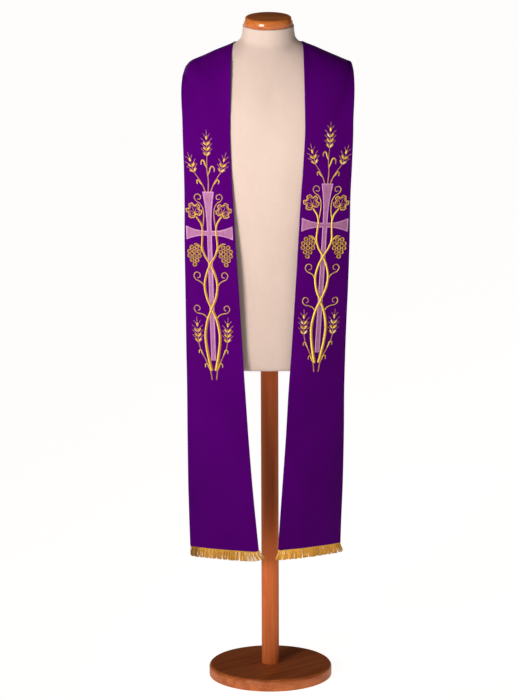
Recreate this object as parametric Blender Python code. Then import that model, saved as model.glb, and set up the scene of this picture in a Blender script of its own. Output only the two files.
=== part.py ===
"""Clerical stole laid over a limbless dress form with a wooden cap, pole and base.

Units are metres. Z is up, the form faces -Y and its left shoulder is at +X.
The origin is the centre of the base's underside.
"""
import math
from collections import namedtuple

import bmesh
import bpy
from mathutils import Vector
from mathutils.bvhtree import BVHTree

# ---------------------------------------------------------------- driving sizes
BASE_RADIUS = 0.150
BASE_HEIGHT = 0.029
BASE_ROUND_ACROSS = 0.0120
BASE_ROUND_UP = 0.0100
BASE_ROUND_END = math.radians(58)
BASE_CHAMFER = 0.002
POLE_RADIUS = 0.0213
CAP_RADIUS = 0.0580
CAP_HEIGHT = 0.0205
CAP_ROUND_ACROSS = 0.0085
CAP_ROUND_UP = 0.0150
CAP_EDGE_ACROSS = 0.0030
CAP_EDGE_UP = 0.0045
NECK_TILT = math.radians(9.0)
NECK_RADIUS = 0.0604
NECK_TOP = 1.5862
NECK_DROP = NECK_RADIUS * math.tan(NECK_TILT)

SEAM_GAP = 0.0003
STOLE_WALL = 0.002
FORM_CLEARANCE = 0.0006
CLEARING_PASSES = 3
FRINGE_REACH = 0.0255
FRINGE_WALL = 0.0040
FRINGE_SPLAY = 0.0080
CROSS_GAP = 0.0006
CROSS_WALL = 0.0008

TURN_SEGMENTS = 48
ROUND_SEGMENTS = 4
FORM_SEGMENTS = 40
FORM_STEPS = 2
FINE_SEGMENTS = 120
FINE_STEPS = 4
STOLE_CELLS = 8

# --------------------------------------------------------------- the dress form
# One row for each ring, from the neck down. A ring is a superellipse: its half
# width and its depths in front and behind, its heights at the side, the front
# and the back, the exponent of its outline, and how its height eases from the
# side to the front and back, 1 on a flat tilted ring and 2 on a saddle.
Ring = namedtuple("Ring", "half_width front back z_side z_front z_back exponent ease")
FORM_RINGS = [
    Ring(
        NECK_RADIUS, NECK_RADIUS, NECK_RADIUS,
        NECK_TOP, NECK_TOP - NECK_DROP, NECK_TOP + NECK_DROP, 2.0, 1.0,
    ),
    Ring(0.0614, 0.0614, 0.0610, 1.5720, 1.5610, 1.5850, 2.0, 1.0),
    Ring(0.0655, 0.0645, 0.0625, 1.5560, 1.5400, 1.5700, 2.0, 1.4),
    Ring(0.0800, 0.0740, 0.0690, 1.5445, 1.5190, 1.5530, 2.0, 1.8),
    Ring(0.1100, 0.0870, 0.0800, 1.5320, 1.4880, 1.5330, 2.0, 2.0),
    Ring(0.1400, 0.1000, 0.0920, 1.5190, 1.4530, 1.5080, 2.05, 2.0),
    Ring(0.1680, 0.1110, 0.1010, 1.5067, 1.4180, 1.4800, 2.1, 2.0),
    Ring(0.1832, 0.1170, 0.1060, 1.4995, 1.3920, 1.4580, 2.2, 2.0),
    Ring(0.1940, 0.1210, 0.1090, 1.4872, 1.3670, 1.4350, 2.3, 2.0),
    Ring(0.1982, 0.1240, 0.1110, 1.4715, 1.3420, 1.4100, 2.4, 2.0),
    Ring(0.1990, 0.1265, 0.1125, 1.4490, 1.3150, 1.3800, 2.5, 2.0),
    Ring(0.1968, 0.1285, 0.1130, 1.4180, 1.2880, 1.3460, 2.6, 2.0),
    Ring(0.1925, 0.1300, 0.1120, 1.3740, 1.2520, 1.3020, 2.7, 2.0),
    Ring(0.1880, 0.1295, 0.1100, 1.3180, 1.2120, 1.2520, 2.7, 2.0),
    Ring(0.1820, 0.1265, 0.1065, 1.2550, 1.1660, 1.1950, 2.6, 2.0),
    Ring(0.1740, 0.1215, 0.1020, 1.1840, 1.1140, 1.1330, 2.5, 2.0),
    Ring(0.1650, 0.1160, 0.0970, 1.1020, 1.0560, 1.0660, 2.4, 2.0),
    Ring(0.1600, 0.1120, 0.0960, 1.0240, 0.9980, 1.0000, 2.4, 2.0),
    Ring(0.1630, 0.1110, 0.1010, 0.9520, 0.9400, 0.9400, 2.4, 2.0),
    Ring(0.1700, 0.1120, 0.1090, 0.8860, 0.8820, 0.8820, 2.4, 2.0),
    Ring(0.1730, 0.1120, 0.1130, 0.8300, 0.8300, 0.8300, 2.4, 2.0),
    Ring(0.1700, 0.1095, 0.1110, 0.7900, 0.7900, 0.7900, 2.4, 2.0),
    Ring(0.1640, 0.1040, 0.1050, 0.7780, 0.7780, 0.7780, 2.4, 2.0),
    Ring(0.1560, 0.0960, 0.0970, 0.7750, 0.7750, 0.7750, 2.4, 2.0),
]

# -------------------------------------------------------------------- the stole
# One row for each section across a half: the place of its inner edge and of its
# outer edge, and how far its middle stands out from the line between them.
# x is the distance from the middle of the back or front, on either side.
Section = namedtuple("Section", "in_x in_y in_z out_x out_y out_z bulge")
BACK = [
    Section(0.0002, 0.0910, 1.504, 0.0002, 0.1090, 1.346, 0.0),
    Section(0.0200, 0.0870, 1.514, 0.0400, 0.1080, 1.381, 0.0),
    Section(0.0400, 0.0770, 1.525, 0.0780, 0.1050, 1.413, 0.0),
    Section(0.0570, 0.0600, 1.534, 0.1150, 0.0970, 1.440, 0.0),
    Section(0.0690, 0.0400, 1.540, 0.1490, 0.0780, 1.462, 0.0),
    Section(0.0765, 0.0200, 1.543, 0.1765, 0.0460, 1.477, 0.0),
]
RIGHT_SHOULDER = [
    Section(0.0810, 0.0000, 1.542, 0.1925, 0.0110, 1.485, 0.0),
    Section(0.0840, -0.0250, 1.537, 0.2000, -0.0180, 1.475, 0.0),
    Section(0.0860, -0.0480, 1.523, 0.2032, -0.0440, 1.458, 0.0),
    Section(0.0875, -0.0740, 1.500, 0.2045, -0.0630, 1.433, 0.0),
    Section(0.0880, -0.0940, 1.461, 0.2036, -0.0730, 1.404, 0.001),
    Section(0.0885, -0.1090, 1.413, 0.2020, -0.0780, 1.373, 0.002),
    Section(0.0895, -0.1200, 1.345, 0.2010, -0.0820, 1.328, 0.004),
]
LEFT_SHOULDER = [
    Section(0.0790, 0.0000, 1.547, 0.1925, 0.0110, 1.498, 0.0),
    Section(0.0805, -0.0250, 1.541, 0.1985, -0.0180, 1.486, 0.0),
    Section(0.0815, -0.0480, 1.525, 0.2008, -0.0420, 1.464, 0.0),
    Section(0.0820, -0.0740, 1.500, 0.2010, -0.0610, 1.434, 0.0),
    Section(0.0825, -0.0940, 1.461, 0.1997, -0.0720, 1.404, 0.001),
    Section(0.0835, -0.1090, 1.413, 0.1980, -0.0780, 1.373, 0.002),
    Section(0.0840, -0.1200, 1.345, 0.1970, -0.0820, 1.328, 0.004),
]
RIGHT_FRONT = [
    Section(0.0880, -0.1270, 1.268, 0.1990, -0.0850, 1.262, 0.006),
    Section(0.0840, -0.1290, 1.192, 0.1980, -0.0870, 1.190, 0.007),
    Section(0.0780, -0.1295, 1.078, 0.1985, -0.0850, 1.078, 0.007),
    Section(0.0710, -0.1295, 0.964, 0.1975, -0.0820, 0.964, 0.008),
    Section(0.0645, -0.1300, 0.848, 0.1970, -0.0790, 0.848, 0.008),
    Section(0.0575, -0.1300, 0.732, 0.1960, -0.0760, 0.732, 0.009),
    Section(0.0500, -0.1305, 0.615, 0.1960, -0.0740, 0.615, 0.009),
    Section(0.0410, -0.1310, 0.498, 0.1955, -0.0730, 0.498, 0.008),
    Section(0.0320, -0.1315, 0.400, 0.1935, -0.0730, 0.400, 0.007),
    Section(0.0265, -0.1320, 0.343, 0.1920, -0.0730, 0.343, 0.007),
]
LEFT_FRONT = [
    Section(0.0795, -0.1270, 1.268, 0.1940, -0.0870, 1.262, 0.006),
    Section(0.0740, -0.1290, 1.192, 0.1905, -0.0870, 1.190, 0.007),
    Section(0.0670, -0.1295, 1.078, 0.1885, -0.0810, 1.078, 0.008),
    Section(0.0600, -0.1295, 0.964, 0.1850, -0.0730, 0.964, 0.009),
    Section(0.0525, -0.1300, 0.848, 0.1805, -0.0670, 0.848, 0.010),
    Section(0.0440, -0.1300, 0.732, 0.1775, -0.0610, 0.732, 0.011),
    Section(0.0370, -0.1305, 0.615, 0.1765, -0.0560, 0.615, 0.012),
    Section(0.0285, -0.1310, 0.498, 0.1745, -0.0510, 0.498, 0.012),
    Section(0.0215, -0.1315, 0.401, 0.1710, -0.0470, 0.400, 0.009),
    Section(0.0180, -0.1320, 0.346, 0.1695, -0.0450, 0.343, 0.005),
]
SHOULDER_STEPS = 2
FRONT_STEPS = 3

# ------------------------------------------------------------ the sewn-on cross
# One row for each limb: its direction across and up, its length from the middle
# of the cross, the half width at its end, and the number of cells along it.
Limb = namedtuple("Limb", "across up length end_half_width cells")
CROSS_LIMBS = [
    Limb(0, 1, 0.098, 0.0138, 4),
    Limb(1, 0, 0.055, 0.0165, 3),
    Limb(0, -1, 0.304, 0.0058, 12),
    Limb(-1, 0, 0.055, 0.0165, 3),
]
CROSS_HALF_WAIST = 0.0055
CROSS_FLARE = 2.2
CROSS_PLACE = {"right": (-0.140, 1.109), "left": (0.1308, 1.127)}
CROSS_LEAN = {"right": math.radians(1.5), "left": math.radians(-3.5)}


def clear_scene():
    """Remove the objects that a new file starts with."""
    for thing in list(bpy.data.objects):
        bpy.data.objects.remove(thing, do_unlink=True)


def material(name, colour, roughness, metallic=0.0):
    """A Principled material with a plain colour."""
    made = bpy.data.materials.new(name)
    made.use_nodes = True
    shader = made.node_tree.nodes["Principled BSDF"]
    shader.inputs["Base Color"].default_value = (*colour, 1.0)
    shader.inputs["Roughness"].default_value = roughness
    shader.inputs["Metallic"].default_value = metallic
    made.diffuse_color = (*colour, 1.0)
    return made


def add_object(name, points, faces, surface, smooth_angle=None):
    """A named object from points and faces, with its faces turned outwards."""
    mesh = bpy.data.meshes.new(name)
    mesh.from_pydata([tuple(p) for p in points], [], faces)
    shape = bmesh.new()
    shape.from_mesh(mesh)
    bmesh.ops.recalc_face_normals(shape, faces=shape.faces)
    bmesh.ops.triangulate(shape, faces=[f for f in shape.faces if len(f.verts) == 4])
    shape.to_mesh(mesh)
    shape.free()
    mesh.materials.append(surface)
    if smooth_angle is not None:
        mesh.shade_smooth()
        mesh.set_sharp_from_angle(angle=smooth_angle)
    thing = bpy.data.objects.new(name, mesh)
    bpy.context.scene.collection.objects.link(thing)
    return thing


# ------------------------------------------------------------------- solid kinds
def blend_rows(rows, place):
    """The values of a table at a place between its rows, on a Catmull-Rom curve."""
    last = len(rows) - 1
    low = min(int(place), last - 1)
    t = place - low
    around = [rows[min(max(low + k, 0), last)] for k in (-1, 0, 1, 2)]
    mixed = []
    for a, b, c, d in zip(*around):
        slope_b = (c - a) / 2
        slope_c = (d - b) / 2
        bend = (2 * t**3 - 3 * t**2 + 1) * b + (t**3 - 2 * t**2 + t) * slope_b
        mixed.append(bend + (3 * t**2 - 2 * t**3) * c + (t**3 - t**2) * slope_c)
    return type(rows[0])(*mixed)


def turned(name, profile, segments, surface):
    """A solid of revolution about Z, from (radius, height) points, bottom to top."""
    points = []
    faces = []
    for radius, height in profile:
        for k in range(segments):
            angle = 2 * math.pi * k / segments
            points.append((radius * math.cos(angle), radius * math.sin(angle), height))
    for level in range(len(profile) - 1):
        for k in range(segments):
            here = level * segments + k
            beside = level * segments + (k + 1) % segments
            faces.append((here, beside, beside + segments, here + segments))
    top = (len(profile) - 1) * segments
    faces.append(tuple(reversed(range(segments))))
    faces.append(tuple(range(top, top + segments)))
    return add_object(name, points, faces, surface, math.radians(40))


def round_corner(radius, height, across, up, start, end):
    """Points of a quarter ellipse of a turned profile, about (radius, height)."""
    points = []
    for k in range(ROUND_SEGMENTS + 1):
        angle = start + (end - start) * k / ROUND_SEGMENTS
        points.append((radius + across * math.cos(angle), height + up * math.sin(angle)))
    return points


def form_point(ring, angle):
    """A point of a ring of the form. Angle 0 is at +X and a quarter turn at +Y."""
    power = 2 / ring.exponent
    across = math.copysign(abs(math.cos(angle)) ** power, math.cos(angle))
    along = abs(math.sin(angle)) ** power
    behind = math.sin(angle) > 0
    depth = ring.back if behind else -ring.front
    z_end = ring.z_back if behind else ring.z_front
    height = ring.z_side + (z_end - ring.z_side) * abs(math.sin(angle)) ** ring.ease
    return Vector((ring.half_width * across, depth * along, height))


def form_surface(steps, segments):
    """The points and the side faces of the form, with steps rings for each row."""
    count = (len(FORM_RINGS) - 1) * steps + 1
    points = []
    faces = []
    for level in range(count):
        ring = blend_rows(FORM_RINGS, level / steps)
        for k in range(segments):
            points.append(form_point(ring, 2 * math.pi * k / segments))
    for level in range(count - 1):
        for k in range(segments):
            here = level * segments + k
            beside = level * segments + (k + 1) % segments
            faces.append((here, here + segments, beside + segments, beside))
    return points, faces


def build_form(surface):
    """The cloth-covered torso and neck, closed by a flat top and a flat bottom."""
    points, faces = form_surface(FORM_STEPS, FORM_SEGMENTS)
    bottom = len(points) - FORM_SEGMENTS
    faces.append(tuple(range(FORM_SEGMENTS)))
    faces.append(tuple(reversed(range(bottom, bottom + FORM_SEGMENTS))))
    return add_object("form_torso", points, faces, surface, math.radians(50))


def build_cap(surface):
    """The turned cap on the neck, tilted with it."""
    profile = round_corner(
        CAP_RADIUS - CAP_EDGE_ACROSS, CAP_EDGE_UP, CAP_EDGE_ACROSS, CAP_EDGE_UP,
        -math.pi / 2, 0,
    )
    profile += round_corner(
        CAP_RADIUS - CAP_ROUND_ACROSS, CAP_HEIGHT - CAP_ROUND_UP,
        CAP_ROUND_ACROSS, CAP_ROUND_UP, 0, math.pi / 2,
    )
    cap = turned("neck_cap", profile, TURN_SEGMENTS, surface)
    up = Vector((0.0, -math.sin(NECK_TILT), math.cos(NECK_TILT)))
    cap.rotation_euler = (NECK_TILT, 0.0, 0.0)
    cap.location = Vector((0.0, 0.0, NECK_TOP)) + up * SEAM_GAP
    return cap


def build_pole(surface):
    """The round pole between the base and the form's flat bottom."""
    low = BASE_HEIGHT + SEAM_GAP
    high = FORM_RINGS[-1].z_side - SEAM_GAP
    profile = [(POLE_RADIUS, low), (POLE_RADIUS, high)]
    return turned("pole", profile, TURN_SEGMENTS, surface)


def build_base(surface):
    """The turned disc that the form stands on, flat below, its rim eased above."""
    profile = [(BASE_RADIUS - BASE_CHAMFER, 0.0), (BASE_RADIUS, BASE_CHAMFER)]
    profile += round_corner(
        BASE_RADIUS - BASE_ROUND_ACROSS,
        BASE_HEIGHT - BASE_ROUND_UP * math.sin(BASE_ROUND_END),
        BASE_ROUND_ACROSS, BASE_ROUND_UP, 0, BASE_ROUND_END,
    )
    return turned("base", profile, TURN_SEGMENTS, surface)


# -------------------------------------------------------------------- the cloth
def form_trees(form):
    """The form to lay the cloth on: its smooth surface, and its solid's facets."""
    points, faces = form_surface(FINE_STEPS, FINE_SEGMENTS)
    corners = [vertex.co for vertex in form.data.vertices]
    facets = [tuple(facet.vertices) for facet in form.data.polygons]
    return [BVHTree.FromPolygons(points, faces), BVHTree.FromPolygons(corners, facets)]


def laid_on(trees, point):
    """A point moved out to the clearance of the form, if it is nearer than that."""
    for tree in trees:
        near, normal, _, _ = tree.find_nearest(point)
        if (point - near).dot(normal) < FORM_CLEARANCE:
            point = near + normal * FORM_CLEARANCE
    return point


def clear_cells(trees, grid):
    """Move a grid out where the middle of a cell or of an edge is not clear."""
    rows = len(grid)
    columns = len(grid[0])
    for i in range(rows):
        for k in range(columns):
            for down, across in ((1, 1), (1, 0), (0, 1)):
                if i + down >= rows or k + across >= columns:
                    continue
                corners = {(i, k), (i + down, k), (i, k + across), (i + down, k + across)}
                corners = [grid[a][b] for a, b in sorted(corners)]
                middle = sum(corners, Vector()) / len(corners)
                shift = laid_on(trees, middle) - middle
                for corner in corners:
                    corner += shift


def stole_sections(shoulder, front):
    """All sections of a half, from the seam at the back to the hem."""
    rows = BACK + shoulder + front
    bend = len(BACK) + len(shoulder) - 1
    places = [k / SHOULDER_STEPS for k in range(bend * SHOULDER_STEPS)]
    places += [bend + k / FRONT_STEPS for k in range(len(front) * FRONT_STEPS + 1)]
    return [blend_rows(rows, place) for place in places]


def stole_face(trees, sections, side):
    """The body side of a half: a row of points for each section, inner edge first."""
    grid = []
    for section in sections:
        inner = Vector((section.in_x, section.in_y, section.in_z))
        outer = Vector((section.out_x, section.out_y, section.out_z))
        edge = outer - inner
        out = Vector((edge.y, -edge.x, 0.0)).normalized()
        row = []
        for k in range(STOLE_CELLS + 1):
            share = k / STOLE_CELLS
            point = inner + edge * share + out * section.bulge * 4 * share * (1 - share)
            point.x *= side
            row.append(laid_on(trees, point))
        grid.append(row)
    for _ in range(CLEARING_PASSES):
        clear_cells(trees, grid)
    for point in grid[0]:
        point.x = side * SEAM_GAP / 2
    return grid


def moved_out(grid, side, distance):
    """A grid of points moved out along its own normals."""
    rows = len(grid)
    columns = len(grid[0])
    moved = []
    for i in range(rows):
        row = []
        for k in range(columns):
            down = grid[min(i + 1, rows - 1)][k] - grid[max(i - 1, 0)][k]
            across = grid[i][min(k + 1, columns - 1)] - grid[i][max(k - 1, 0)]
            normal = down.cross(across).normalized() * side
            row.append(grid[i][k] + normal * distance)
        moved.append(row)
    return moved


def sheet_solid(name, back, front, surface):
    """A closed wall between two grids of points of the same size."""
    rows = len(back)
    columns = len(back[0])
    points = [p for row in back for p in row] + [p for row in front for p in row]
    shift = rows * columns
    faces = []
    for i in range(rows - 1):
        for k in range(columns - 1):
            a = i * columns + k
            b = a + columns
            faces.append((a, b, b + 1, a + 1))
            faces.append((shift + a, shift + a + 1, shift + b + 1, shift + b))
    rim = [k for k in range(columns)]
    rim += [i * columns + columns - 1 for i in range(1, rows)]
    rim += [(rows - 1) * columns + k for k in range(columns - 2, -1, -1)]
    rim += [i * columns for i in range(rows - 2, 0, -1)]
    for a, b in zip(rim, rim[1:] + rim[:1]):
        faces.append((a, b, shift + b, shift + a))
    return add_object(name, points, faces, surface, math.radians(60))


def build_half(name, face, side, surface):
    """A half of the stole, and its outer face."""
    outside = moved_out(face, side, STOLE_WALL)
    for point in outside[0]:
        point.x = side * SEAM_GAP / 2
    sheet_solid(name, face, outside, surface)
    return outside


def build_fringe(name, face, outside, surface):
    """The reach of the fringe below a hem."""
    hem = [(a + b) / 2 for a, b in zip(face[-1], outside[-1])]
    outward = [(b - a) for a, b in zip(face[-1], outside[-1])]
    back = []
    front = []
    for level in range(2):
        back_row = []
        front_row = []
        for k, (middle, away) in enumerate(zip(hem, outward)):
            away = Vector((away.x, away.y, 0.0)).normalized() * FRINGE_WALL / 2
            along = (hem[-1] - hem[0]).normalized()
            splay = (k / (len(hem) - 1) - 1) * FRINGE_SPLAY * level
            place = middle + along * splay
            place.z = middle.z - SEAM_GAP - FRINGE_REACH * level
            back_row.append(place - away)
            front_row.append(place + away)
        back.append(back_row)
        front.append(front_row)
    sheet_solid(name, back, front, surface)


def cross_outline():
    """Points and cells of the flat cross, about its middle, as (across, up)."""
    waist = CROSS_HALF_WAIST
    points = [(waist, waist), (-waist, waist), (-waist, -waist), (waist, -waist)]
    cells = [(0, 1, 2, 3)]
    starts = [(0, 1), (3, 0), (2, 3), (1, 2)]
    for limb, (first, second) in zip(CROSS_LIMBS, starts):
        left = first
        right = second
        for step in range(1, limb.cells + 1):
            share = step / limb.cells
            reach = waist + (limb.length - waist) * share
            half = waist + (limb.end_half_width - waist) * share**CROSS_FLARE
            middle = Vector((limb.across * reach, limb.up * reach))
            beside = Vector((limb.up * half, -limb.across * half))
            points.append(tuple(middle + beside))
            points.append(tuple(middle - beside))
            new = len(points) - 2
            cells.append((left, new, new + 1, right))
            left = new
            right = new + 1
    return points, cells


def build_cross(name, outside, place, lean, surface):
    """The cross laid on the outer face of a half."""
    columns = len(outside[0])
    panel = [p for row in outside for p in row]
    quads = []
    for i in range(len(outside) - 1):
        for k in range(columns - 1):
            a = i * columns + k
            quads.append((a, a + 1, a + columns + 1, a + columns))
    tree = BVHTree.FromPolygons(panel, quads)
    flat, cells = cross_outline()
    back = []
    front = []
    for across, up in flat:
        x = place[0] + across * math.cos(lean) - up * math.sin(lean)
        z = place[1] + across * math.sin(lean) + up * math.cos(lean)
        hit, normal, _, _ = tree.ray_cast(Vector((x, -1.0, z)), Vector((0.0, 1.0, 0.0)))
        if normal.y > 0:
            normal = -normal
        back.append(hit + normal * CROSS_GAP)
        front.append(hit + normal * (CROSS_GAP + CROSS_WALL))
    count = len(flat)
    faces = [tuple(reversed(cell)) for cell in cells]
    faces += [tuple(k + count for k in cell) for cell in cells]
    sides = {}
    for cell in cells:
        for a, b in zip(cell, cell[1:] + cell[:1]):
            sides.setdefault(frozenset((a, b)), []).append((a, b))
    for pair in sides.values():
        if len(pair) == 1:
            a, b = pair[0]
            faces.append((a, b, b + count, a + count))
    add_object(name, back + front, faces, surface, math.radians(40))


def main():
    clear_scene()
    purple = material("stole_cloth", (0.070, 0.002, 0.140), 0.85)
    lilac = material("cross_satin", (0.520, 0.190, 0.390), 0.45)
    gold = material("fringe_thread", (0.650, 0.330, 0.060), 0.45)
    skin = material("form_cloth", (0.760, 0.560, 0.470), 0.90)
    wood = material("turned_wood", (0.360, 0.130, 0.050), 0.35)

    build_base(wood)
    build_pole(wood)
    form = build_form(skin)
    build_cap(wood)

    trees = form_trees(form)
    halves = (
        ("right", -1, stole_sections(RIGHT_SHOULDER, RIGHT_FRONT)),
        ("left", 1, stole_sections(LEFT_SHOULDER, LEFT_FRONT)),
    )
    for word, side, sections in halves:
        face = stole_face(trees, sections, side)
        outside = build_half("stole_" + word + "_half", face, side, purple)
        build_fringe("fringe_" + word, face, outside, gold)
        place = CROSS_PLACE[word]
        build_cross("cross_" + word, outside, place, CROSS_LEAN[word], lilac)


main()
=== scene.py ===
"""Looks of a clerical stole laid over a limbless dress form with wooden fittings.

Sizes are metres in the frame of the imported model: Z is up, the form faces -Y and
its left shoulder is at +X. Embroidery is laid out in millimetres about the middle
of each cross, across to the viewer's right and up.
"""
import math
import random
from collections import namedtuple

import bmesh
import bpy
from mathutils import Matrix, Vector
from mathutils.bvhtree import BVHTree


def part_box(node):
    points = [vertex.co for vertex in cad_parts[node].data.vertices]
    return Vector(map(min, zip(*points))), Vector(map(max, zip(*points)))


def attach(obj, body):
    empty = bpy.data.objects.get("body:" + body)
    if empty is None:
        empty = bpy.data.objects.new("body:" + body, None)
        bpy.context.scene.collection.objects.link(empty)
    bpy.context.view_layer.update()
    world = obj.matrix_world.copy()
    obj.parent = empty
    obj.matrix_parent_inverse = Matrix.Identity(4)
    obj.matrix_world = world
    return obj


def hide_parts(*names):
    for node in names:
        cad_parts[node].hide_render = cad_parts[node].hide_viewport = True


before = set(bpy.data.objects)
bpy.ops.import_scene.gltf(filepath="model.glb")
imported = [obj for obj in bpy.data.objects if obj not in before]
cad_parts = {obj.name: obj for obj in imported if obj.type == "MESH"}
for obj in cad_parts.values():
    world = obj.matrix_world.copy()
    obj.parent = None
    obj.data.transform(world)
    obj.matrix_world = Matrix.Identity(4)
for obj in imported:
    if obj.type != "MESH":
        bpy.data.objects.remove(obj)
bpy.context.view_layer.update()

# ---- the camera
CAMERA_PLACE = (-0.0238, -6.400, 1.9837)
CAMERA_PITCH = math.radians(10.402)
CAMERA_ROLL = math.radians(-0.231)
CAMERA_LENS = 139.11
FLOOR_HALF = 60.0

# A lamp is a square soft box: where it stands and what it points at, how long its
# sides are, its power in watts and how wide its beam spreads, in degrees.
Lamp = namedtuple("Lamp", "name place aim size power spread")
LAMPS = [
    Lamp("key", (-2.15, -3.35, 1.90), (-0.06, 0.0, 1.42), 1.5, 15.5, 44),
    Lamp("fill", (2.6, -3.6, 1.6), (0.0, 0.0, 1.00), 2.0, 0.8, 120),
    Lamp("low", (-1.3, -3.4, 0.55), (0.0, 0.0, 0.02), 0.5, 0.155, 14),
    Lamp("back_left", (-1.6, 3.8, 1.9), (0.0, 0.0, 1.30), 0.8, 0.85, 26),
    Lamp("back_right", (1.5, 3.8, 1.9), (0.0, 0.0, 1.30), 0.8, 0.60, 26),
]
SKY_FRONT = 0.13
SKY_BACK = 0.04
FLOOR_COLOUR = (0.90, 0.89, 0.88)
FLOOR_ALBEDO = 0.36
FLOOR_GLOW = 1.07

MM = 0.001


def in_metres(kind, lengths, rows):
    """Named rows in metres, from rows whose first columns are lengths in millimetres."""
    return [kind(*(v * MM for v in row[:lengths]), *row[lengths:]) for row in rows]


# ---- the dress form
# The tables of the form and of the stole are those of the CAD model, in millimetres.
NECK_TILT = math.radians(9.0)
NECK_RADIUS = 0.0604
NECK_TOP = 1.5862
NECK_DROP = NECK_RADIUS * math.tan(NECK_TILT)
CAP_RADIUS = 0.0580
CAP_HEIGHT = 0.0205
CAP_ROUND_ACROSS = 0.0085
CAP_ROUND_UP = 0.0150
CAP_EDGE_ACROSS = 0.0030
CAP_EDGE_UP = 0.0045
BASE_ROUND_ACROSS = 0.0120
BASE_ROUND_UP = 0.0100
BASE_ROUND_END = math.radians(58)
BASE_RIM_FLAT = 0.0010
BASE_EDGE = 0.0025
SHARP_ANGLE = math.radians(50)
SEAM_GAP = 0.0003
FORM_STEPS = 6
FORM_SEGMENTS = 144
FORM_MEAN_RADIUS = 0.17
# The rings that close the form's two ends, as shares of its first and last ones.
TOP_SHARES = (0.0, 0.6)
UNDER_SHARES = (0.97, 0.80, 0.45, 0.16, 0.0)

# One row for each ring, a superellipse: its half width and its depths in front and
# behind, its heights at the side, the front and the back, the exponent of its outline,
# and how its height eases from the side to the front and back.
Ring = namedtuple("Ring", "half_width front back z_side z_front z_back exponent ease")
FORM_RINGS = [Ring(
    NECK_RADIUS, NECK_RADIUS, NECK_RADIUS,
    NECK_TOP, NECK_TOP - NECK_DROP, NECK_TOP + NECK_DROP, 2.0, 1.0,
)]
FORM_RINGS += in_metres(Ring, 6, [
    (61.4, 61.4, 61, 1572, 1561, 1585, 2, 1),
    (65.5, 64.5, 62.5, 1556, 1540, 1570, 2, 1.4),
    (80, 74, 69, 1544.5, 1519, 1553, 2, 1.8),
    (110, 87, 80, 1532, 1488, 1533, 2, 2),
    (140, 100, 92, 1519, 1453, 1508, 2.05, 2),
    (168, 111, 101, 1506.7, 1418, 1480, 2.1, 2),
    (183.2, 117, 106, 1499.5, 1392, 1458, 2.2, 2),
    (194, 121, 109, 1487.2, 1367, 1435, 2.3, 2),
    (198.2, 124, 111, 1471.5, 1342, 1410, 2.4, 2),
    (199, 126.5, 112.5, 1449, 1315, 1380, 2.5, 2),
    (196.8, 128.5, 113, 1418, 1288, 1346, 2.6, 2),
    (192.5, 130, 112, 1374, 1252, 1302, 2.7, 2),
    (188, 129.5, 110, 1318, 1212, 1252, 2.7, 2),
    (182, 126.5, 106.5, 1255, 1166, 1195, 2.6, 2),
    (174, 121.5, 102, 1184, 1114, 1133, 2.5, 2),
    (165, 116, 97, 1102, 1056, 1066, 2.4, 2),
    (160, 112, 96, 1024, 998, 1000, 2.4, 2),
    (163, 111, 101, 952, 940, 940, 2.4, 2),
    (170, 112, 109, 886, 882, 882, 2.4, 2),
    (173, 112, 113, 830, 830, 830, 2.4, 2),
    (170, 109.5, 111, 790, 790, 790, 2.4, 2),
    (164, 104, 105, 778, 778, 778, 2.4, 2),
    (156, 96, 97, 775, 775, 775, 2.4, 2),
])

# ---- the materials
# A cloth: two dyed tones, the period of its weave, its shader's roughness and sheen,
# how much its uneven yarns stand out, and the depth of its relief.
Cloth = namedtuple("Cloth", "name light dark period roughness sheen slub relief")
PURPLE = Cloth(
    "purple_cloth", (0.086, 0.0004, 0.150), (0.056, 0.0003, 0.101),
    0.0007, 0.80, 0.05, 0.5, 0.0003,
)
JERSEY = Cloth(
    "form_jersey", (0.68, 0.525, 0.445), (0.555, 0.415, 0.345),
    0.0011, 0.85, 0.10, 0.3, 0.0003,
)
CLOTH_SPECULAR = 0.06
CLOTH_SHEEN_ROUGHNESS = 0.45
# The weft's period, as a share of the warp's, and how fine the uneven yarns and the
# clouds of the dye are, across and along.
WEFT_SHARE = 1.12
YARN = (900, 22)
DYE_CLOUDS = (9, 5, 1)

# A thread: the period of its strands, its shader's roughness, specular level and
# sheen, the depth of its relief and the tint of its glints.
Thread = namedtuple("Thread", "name period roughness specular sheen relief glint")
THREADS = [
    Thread("satin_thread", 0.00045, 0.42, 0.40, 0.10, 0.00012, (1.0, 0.80, 0.95)),
    Thread("gold_thread", 0.00045, 0.36, 0.70, 0.08, 0.00014, (1.0, 0.80, 0.30)),
    Thread("fringe_strand", 0.0009, 0.38, 0.65, 0.10, 0.00010, (1.0, 0.78, 0.30)),
]
THREAD_SHEEN_ROUGHNESS = 0.3
THREAD_FIBRE = (180, 2400, 1)
THREAD_PATCHES = (60, 260, 1)
THREAD_SHADE = (0.55, 0.46, 0.42)

# A wood: how fine its grain and its figure are on each axis, how far they are turned
# about Z, in degrees, two stained tones, and how thick its varnish looks. The varnish
# is hard and thin, so that it glints where it faces the lamps but not at the edges.
Wood = namedtuple("Wood", "name grain figure turn light dark varnish")
BASE_WOOD = Wood(
    "stained_board", (3.0, 60.0, 60.0), (2.0, 9.0, 9.0), -42,
    (0.64, 0.165, 0.041), (0.33, 0.073, 0.015), 0.06,
)
CAP_WOOD = Wood(
    "stained_cap", (8.0, 70.0, 90.0), (8.0, 20.0, 26.0), -4,
    (0.56, 0.155, 0.030), (0.31, 0.069, 0.0125), 0.11,
)
POLE_WOOD = Wood(
    "stained_pole", (70.0, 70.0, 2.2), (12.0, 12.0, 1.6), 0,
    (0.68, 0.165, 0.042), (0.46, 0.097, 0.025), 0.01,
)
WOOD_ROUGHNESS = 0.42
WOOD_SPECULAR = 0.05
VARNISH_ROUGHNESS = 0.14
VARNISH_IOR = 3.4

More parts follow.
